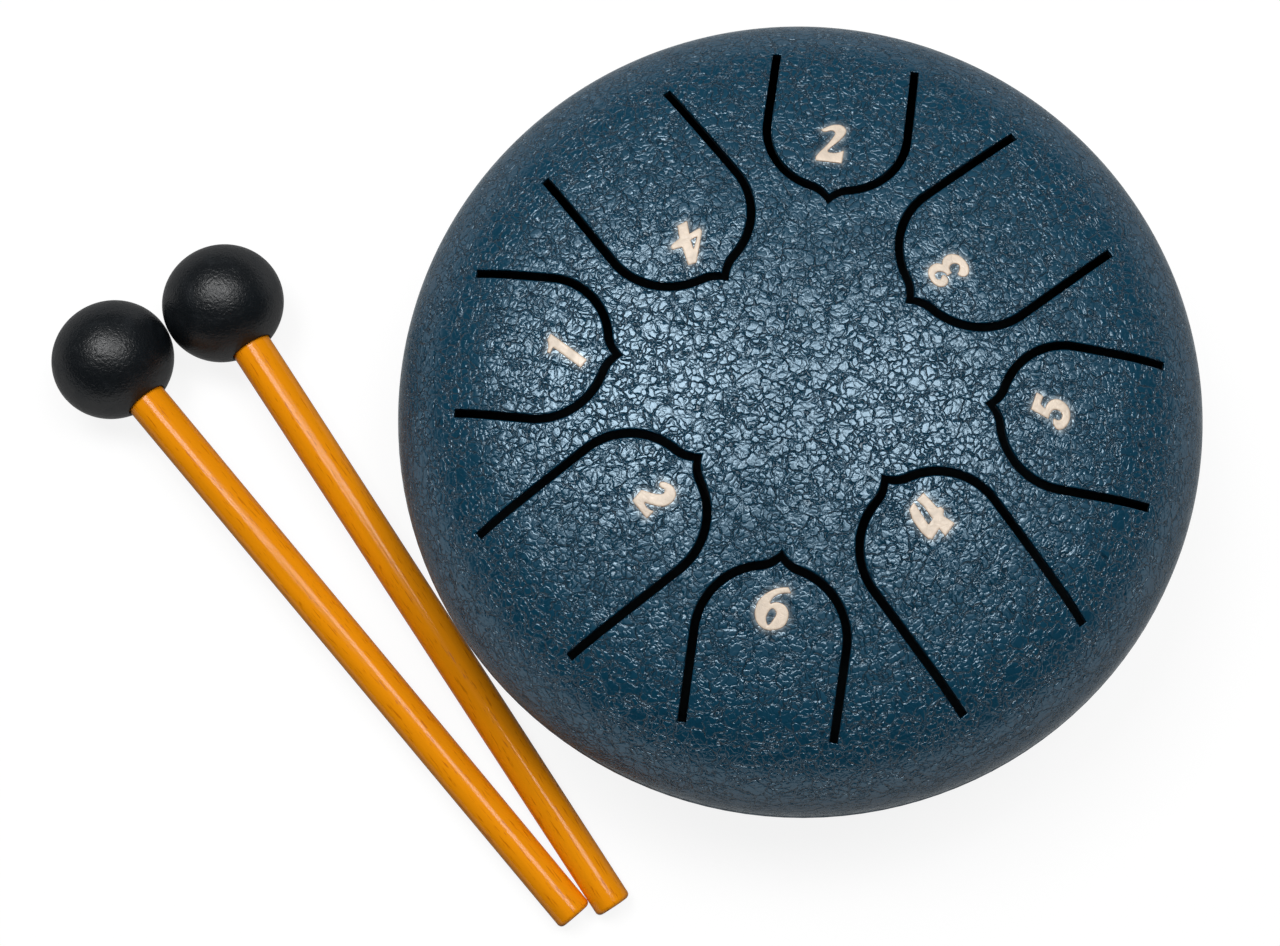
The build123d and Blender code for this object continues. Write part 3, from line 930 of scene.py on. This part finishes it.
def lathe(name, profile, steps, matrix, material, marks=None):
    """A turned piece set in place: rings of a profile given as distance along the axis and radius.

    A profile that ends off the axis is closed on itself. Marks of the inner side are given for each ring.
    """
    mesh = bpy.data.meshes.new(name)
    work = bmesh.new()
    rings = []
    for along, radius in profile:
        if radius == 0.0:
            rings.append([work.verts.new((0.0, 0.0, along))])
        else:
            turn = np.linspace(0.0, 2 * math.pi, steps, endpoint=False)
            rings.append([work.verts.new((radius * math.cos(t), radius * math.sin(t), along)) for t in turn])
    if profile[-1][1] > 0.0:
        rings.append(rings[0])
    for lower, upper in zip(rings, rings[1:]):
        for k in range(steps):
            after = (k + 1) % steps
            corners = [lower[k % len(lower)], lower[after % len(lower)]]
            corners += [upper[after % len(upper)], upper[k % len(upper)]]
            work.faces.new(list(dict.fromkeys(corners)))
    bmesh.ops.recalc_face_normals(work, faces=work.faces)
    work.to_mesh(mesh)
    work.free()
    mesh.shade_smooth()
    mesh.set_sharp_from_angle(angle=SHARP_ANGLE)
    store(mesh, "turned", "FLOAT_VECTOR", "vector", [vertex.co for vertex in mesh.vertices])
    if marks is not None:
        store(mesh, "inside", "FLOAT", "value", np.repeat(marks, steps))
    mesh.transform(matrix)
    return add_object(name, mesh, material)


BOWL_STEPS = 192
CROWN_STEPS = 40
HOLE_STEPS = 5


def bowl_skin(sizes, skin, trim):
    """Section of the bowl, grown outwards by a skin, from its shoulder to the hole's edge less a trim."""
    crown = crown_radius(sizes, sizes.bowl)
    meet = math.asin((sizes.rim - sizes.shoulder) / (crown - sizes.shoulder))
    stop = math.pi / 2 if skin < 0 else math.acos(sizes.groove / sizes.shoulder)
    bend = sizes.shoulder + skin
    middle = sizes.rim - sizes.shoulder
    points = []
    for turn in np.linspace(stop, meet, SHOULDER_STEPS):
        points.append((sizes.equator - bend * math.cos(turn), middle + bend * math.sin(turn)))
    edge = math.asin((sizes.hole + trim) / (crown + skin))
    for turn in np.linspace(meet, edge, CROWN_STEPS)[1:]:
        level = sizes.equator - sizes.bowl + crown - (crown + skin) * math.cos(turn)
        points.append((level, (crown + skin) * math.sin(turn)))
    return points


def build_bowl(sizes, material):
    """The bowl with its sound hole, whose lower edge is rounded by the paint."""
    turn = sizes.edge_round
    outer = bowl_skin(sizes, 0.0, turn)
    inner = bowl_skin(sizes, -sizes.sheet, 0.0)[::-1]
    level = outer[-1][0]
    for step in np.linspace(0.0, math.pi / 2, HOLE_STEPS)[1:]:
        outer.append((level + turn * (1 - math.cos(step)), sizes.hole + turn * (1 - math.sin(step))))
    groove = [(sizes.equator, sizes.rim - sizes.groove)]
    marks = [0.0] * (len(groove) + len(outer)) + [1.0] * len(inner)
    return lathe("bowl", groove + outer + inner, BOWL_STEPS, Matrix.Identity(4), material, marks)


STICK_SIDES = 72
STICK_STEPS = 60
BUTT_STEPS = 9
BALL_SIDES = 96
BALL_STEPS = 72
LIP_STEPS = 10
TRACK_STEPS = 200
TRACK_START = 0.1

# How much of a stick's ends is looked at to find its thickness there
TOP_LOOK = 0.5 * MM
BUTT_LOOK = 2.0 * MM


def stick_frame(mallet):
    """The stick's own frame, its Z axis running from the head to the butt, with the stick's sizes."""
    points = np.array([vertex.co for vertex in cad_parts[mallet + "_stick"].data.vertices])
    low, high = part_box(mallet + "_head")
    centre = np.array((low + high) / 2)
    axis = np.linalg.svd(points - points.mean(axis=0), full_matrices=False)[2][0]
    if axis @ (points.mean(axis=0) - centre) < 0:
        axis = -axis
    along = (points - centre) @ axis
    away = np.linalg.norm(points - centre - along[:, None] * axis, axis=1)
    z_axis = Vector(axis)
    x_axis = Vector((0.0, 0.0, 1.0)).cross(z_axis).normalized()
    y_axis = z_axis.cross(x_axis)
    matrix = Matrix((x_axis, y_axis, z_axis)).transposed().to_4x4()
    matrix.translation = Vector(centre)
    top = away[along < along.min() + TOP_LOOK].max()
    butt = away[along > along.max() - BUTT_LOOK].max()
    return matrix, along.min(), along.max(), top, butt


def build_stick(sizes, mallet, material):
    """A tapered stick with a rounded butt."""
    matrix, start, end, top, butt = stick_frame(mallet)
    body = np.linspace(start, end - sizes.butt_round, STICK_STEPS)
    radius = top + (butt - top) * (body - start) / (end - start)
    profile = [(start, 0.0)] + list(zip(body, radius))
    for turn in np.linspace(0.0, math.pi / 2, BUTT_STEPS)[1:]:
        across = radius[-1] - sizes.butt_round + sizes.butt_round * math.cos(turn)
        profile.append((end - sizes.butt_round + sizes.butt_round * math.sin(turn), across))
    profile.append((end, 0.0))
    return lathe(mallet + "_wood", profile, STICK_SIDES, matrix, material)


def build_head(sizes, mallet, material):
    """A rubber ball, pressed a little flat along its stick, with a rounded mouth."""
    matrix, start, end, top, butt = stick_frame(mallet)
    to_stick = matrix.inverted()
    points = np.array([to_stick @ vertex.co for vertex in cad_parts[mallet + "_head"].data.vertices])
    half = -points[:, 2].min()
    radius = np.hypot(points[:, 0], points[:, 1]).max()
    mouth = top + (butt - top) * (half - start) / (end - start) + sizes.seat
    lip = sizes.mouth_round

    # The lip's own centre runs inside the ball until it meets the mouth
    turn = np.linspace(TRACK_START, math.pi / 2, TRACK_STEPS)
    facing = np.column_stack((np.cos(turn) / half, np.sin(turn) / radius))
    facing /= np.linalg.norm(facing, axis=1)[:, None]
    track = np.column_stack((half * np.cos(turn), radius * np.sin(turn))) - lip * facing
    edge = np.interp(mouth + lip, track[:, 1], turn)
    centre = np.interp(mouth + lip, track[:, 1], track[:, 0])
    lean = np.interp(mouth + lip, track[:, 1], np.arctan2(facing[:, 1], facing[:, 0]))

    profile = [(-half, 0.0)]
    for step in np.linspace(math.pi, edge, BALL_STEPS)[1:]:
        profile.append((half * math.cos(step), radius * math.sin(step)))
    for step in np.linspace(lean, -math.pi / 2, LIP_STEPS)[1:]:
        profile.append((centre + lip * math.cos(step), mouth + lip + lip * math.sin(step)))
    profile += [(start - sizes.seat, top + sizes.seat), (start - sizes.seat, 0.0)]
    return lathe(mallet + "_ball", profile, BALL_SIDES, matrix, material)


def dress(piece, body, slot, *nodes):
    """Ties a piece to its body and hides the nodes that it stands for; its finish is given but not used."""
    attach(piece, body)
    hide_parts(*nodes)


def paint_nodes(nodes, material):
    """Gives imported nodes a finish."""
    for name in nodes:
        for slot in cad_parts[name].material_slots:
            slot.material = material


class DRUM_OT_dome(bpy.types.Operator):
    """Build the upper shell with its windows"""

    bl_idname = "drum.dome"
    bl_label = "Dome"

    def execute(self, context):
        piece = build_upper_shell(context.scene.drum_sizes, enamel_material())
        dress(piece, "drum", "blue_enamel", "upper_shell")
        return {"FINISHED"}


class DRUM_OT_tongues(bpy.types.Operator):
    """Build the spring tongues"""

    bl_idname = "drum.tongues"
    bl_label = "Tongues"

    def execute(self, context):
        for index, tongue in enumerate(TONGUES):
            piece = build_tongue(context.scene.drum_sizes, index, tongue, enamel_material())
            dress(piece, "tongue_" + tongue.place, "blue_enamel", "tongue_" + tongue.place)
        return {"FINISHED"}


class DRUM_OT_numerals(bpy.types.Operator):
    """Build the foil numerals"""

    bl_idname = "drum.numerals"
    bl_label = "Numerals"

    def execute(self, context):
        for tongue in TONGUES:
            piece = build_numeral(context.scene.drum_sizes, tongue, foil_material())
            dress(piece, "tongue_" + tongue.place, "foil", "number_" + tongue.place)
        return {"FINISHED"}


class DRUM_OT_base(bpy.types.Operator):
    """Finish the bowl, its weld and its feet"""

    bl_idname = "drum.base"
    bl_label = "Base"

    def execute(self, context):
        colours = context.scene.drum_colours
        dress(build_bowl(context.scene.drum_sizes, enamel_material()), "drum", "blue_enamel", "lower_shell")
        paint_nodes(("seam_weld",), enamel_material())
        rubber = rubber_material(
            "foot_rubber_black", colours.foot,
            grains=1500.0, relief=0.05 * MM, rough=0.62, shine=0.03, worn=2.2,
        )
        paint_nodes(FEET, rubber)
        return {"FINISHED"}


class DRUM_OT_mallets(bpy.types.Operator):
    """Build the sticks and heads of the mallets"""

    bl_idname = "drum.mallets"
    bl_label = "Mallets"

    def execute(self, context):
        sizes = context.scene.drum_sizes
        colours = context.scene.drum_colours
        head = rubber_material(
            "head_rubber_black", colours.head,
            grains=1900.0, relief=0.11 * MM, rough=0.36, shine=0.036, worn=1.5,
        )
        for mallet in MALLETS:
            dress(build_stick(sizes, mallet, wood_material()), mallet, "stick_wood", mallet + "_stick")
            dress(build_head(sizes, mallet, head), mallet, "head_rubber", mallet + "_head")
        return {"FINISHED"}


FLOOR_SIZE = 8.0
SOFTBOX_DISTANCE = 1.2
KEY_SIZE = 0.47
KEY_BEARING = (-0.27, 0.20, 0.94)
FILL_SIZE = 0.44
FILL_BEARING = (0.22, 0.20, 0.95)
WALL_BEARING = (0.32, 0.95, 0.0)
WALL_START = -0.9

# The table is white, with a painted shadow: its glow fades out in the closed space under the drum
TABLE_GLOW = 0.88
UNDER_DRUM = 50.0 * MM
BESIDE_DRUM = 74.0 * MM


def floor_material(colour):
    """Pale table that reads as white behind the drum and keeps its shadow."""
    material, wiring = empty_material("pale_table")
    diffuse = wiring.add("ShaderNodeBsdfDiffuse", {"Color": rgba(colour)})
    glow = wiring.add("ShaderNodeEmission", {"Color": (1.0, 1.0, 1.0, 1.0)})
    rays = wiring.add("ShaderNodeLightPath")
    seen = wiring.calc("MAXIMUM", rays.outputs["Is Camera Ray"], rays.outputs["Is Glossy Ray"])
    seen = wiring.calc("MAXIMUM", seen, rays.outputs["Is Transmission Ray"])
    place = wiring.add("ShaderNodeTexCoord").outputs["Object"]
    away = wiring.add("ShaderNodeVectorMath", {0: place}, operation="LENGTH").outputs["Value"]
    # Painted shadow: the glow falls to nothing under the drum
    glow_with_painted_shadow = wiring.span(away, UNDER_DRUM, BESIDE_DRUM, 0.0, TABLE_GLOW)
    wiring.feed(glow.inputs["Strength"], wiring.calc("MULTIPLY", glow_with_painted_shadow, seen))
    blend = wiring.add("ShaderNodeAddShader")
    wiring.feed(blend.inputs[0], diffuse.outputs[0])
    wiring.feed(blend.inputs[1], glow.outputs[0])
    output = wiring.add("ShaderNodeOutputMaterial")
    wiring.feed(output.inputs["Surface"], blend.outputs[0])
    return material


def add_softbox(name, toward, size, power, aim):
    """A square soft light that faces the drum."""
    lamp = bpy.data.lights.new(name, "AREA")
    lamp.shape = "SQUARE"
    lamp.size = size
    lamp.energy = power
    box = bpy.data.objects.new(name, lamp)
    direction = Vector(toward).normalized()
    box.location = Vector(aim) + direction * SOFTBOX_DISTANCE
    box.rotation_euler = direction.to_track_quat("Z", "Y").to_euler()
    bpy.context.scene.collection.objects.link(box)


class DRUM_OT_stage(bpy.types.Operator):
    """Set the table, the light and the camera"""

    bl_idname = "drum.stage"
    bl_label = "Stage"

    def execute(self, context):
        scene = context.scene
        stage = scene.drum_stage
        half = FLOOR_SIZE / 2
        mesh = bpy.data.meshes.new("table_top")
        corners = ((-half, -half), (half, -half), (half, half), (-half, half))
        mesh.from_pydata([(x, y, table_level) for x, y in corners], [], [(0, 1, 2, 3)])
        add_object("table_top", mesh, floor_material(scene.drum_colours.floor))

        world = bpy.data.worlds.new("studio")
        scene.world = world
        world.use_nodes = True
        wiring = Wiring(world.node_tree)
        ground = world.node_tree.nodes["Background"]
        way = wiring.add("ShaderNodeTexCoord").outputs["Generated"]
        toward = wiring.add("ShaderNodeVectorMath", {0: way, 1: WALL_BEARING}, operation="DOT_PRODUCT")
        glow = wiring.span(toward.outputs["Value"], WALL_START, 1.0, stage.room, stage.wall, smooth=False)
        wiring.feed(ground.inputs["Strength"], glow)

        add_softbox("softbox_left", KEY_BEARING, KEY_SIZE, stage.key, stage.aim)
        add_softbox("softbox_right", FILL_BEARING, FILL_SIZE, stage.fill, stage.aim)

        level = math.cos(stage.elevation)
        back = Vector((
            level * math.cos(stage.azimuth), level * math.sin(stage.azimuth), math.sin(stage.elevation)
        ))
        side = Vector((0.0, 0.0, 1.0)).cross(back).normalized()
        rise = back.cross(side)
        right = side * math.cos(stage.roll) + rise * math.sin(stage.roll)
        matrix = Matrix((right, back.cross(right), back)).transposed().to_4x4()
        matrix.translation = Vector(stage.aim) + back * stage.distance
        lens = bpy.data.cameras.new("camera")
        lens.lens = stage.lens
        lens.sensor_width = 36.0
        lens.sensor_fit = "HORIZONTAL"
        lens.clip_start = 0.01
        camera = bpy.data.objects.new("camera", lens)
        camera.matrix_world = matrix
        scene.collection.objects.link(camera)
        scene.camera = camera
        scene.view_settings.view_transform = "Standard"
        return {"FINISHED"}


class DRUM_PT_panel(bpy.types.Panel):
    """Buttons that build the drum"""

    bl_idname = "DRUM_PT_panel"
    bl_label = "Tongue Drum"
    bl_space_type = "VIEW_3D"
    bl_region_type = "UI"
    bl_category = "Tongue Drum"

    def draw(self, context):
        for operator in OPERATORS:
            self.layout.operator(operator.bl_idname)
        for group in (context.scene.drum_sizes, context.scene.drum_colours, context.scene.drum_stage):
            box = self.layout.box()
            for name in group.__annotations__:
                box.prop(group, name)


OPERATORS = (
    DRUM_OT_dome,
    DRUM_OT_tongues,
    DRUM_OT_numerals,
    DRUM_OT_base,
    DRUM_OT_mallets,
    DRUM_OT_stage,
)
CLASSES = (DrumSizes, DrumColours, DrumStage) + OPERATORS + (DRUM_PT_panel,)


def register():
    for item in CLASSES:
        bpy.utils.register_class(item)
    bpy.types.Scene.drum_sizes = PointerProperty(type=DrumSizes)
    bpy.types.Scene.drum_colours = PointerProperty(type=DrumColours)
    bpy.types.Scene.drum_stage = PointerProperty(type=DrumStage)


def unregister():
    del bpy.types.Scene.drum_stage
    del bpy.types.Scene.drum_colours
    del bpy.types.Scene.drum_sizes
    for item in reversed(CLASSES):
        bpy.utils.unregister_class(item)


def main():
    register()
    bpy.ops.drum.stage()
    bpy.ops.drum.dome()
    bpy.ops.drum.tongues()
    bpy.ops.drum.numerals()
    bpy.ops.drum.base()
    bpy.ops.drum.mallets()


if __name__ == "__main__":
    main()
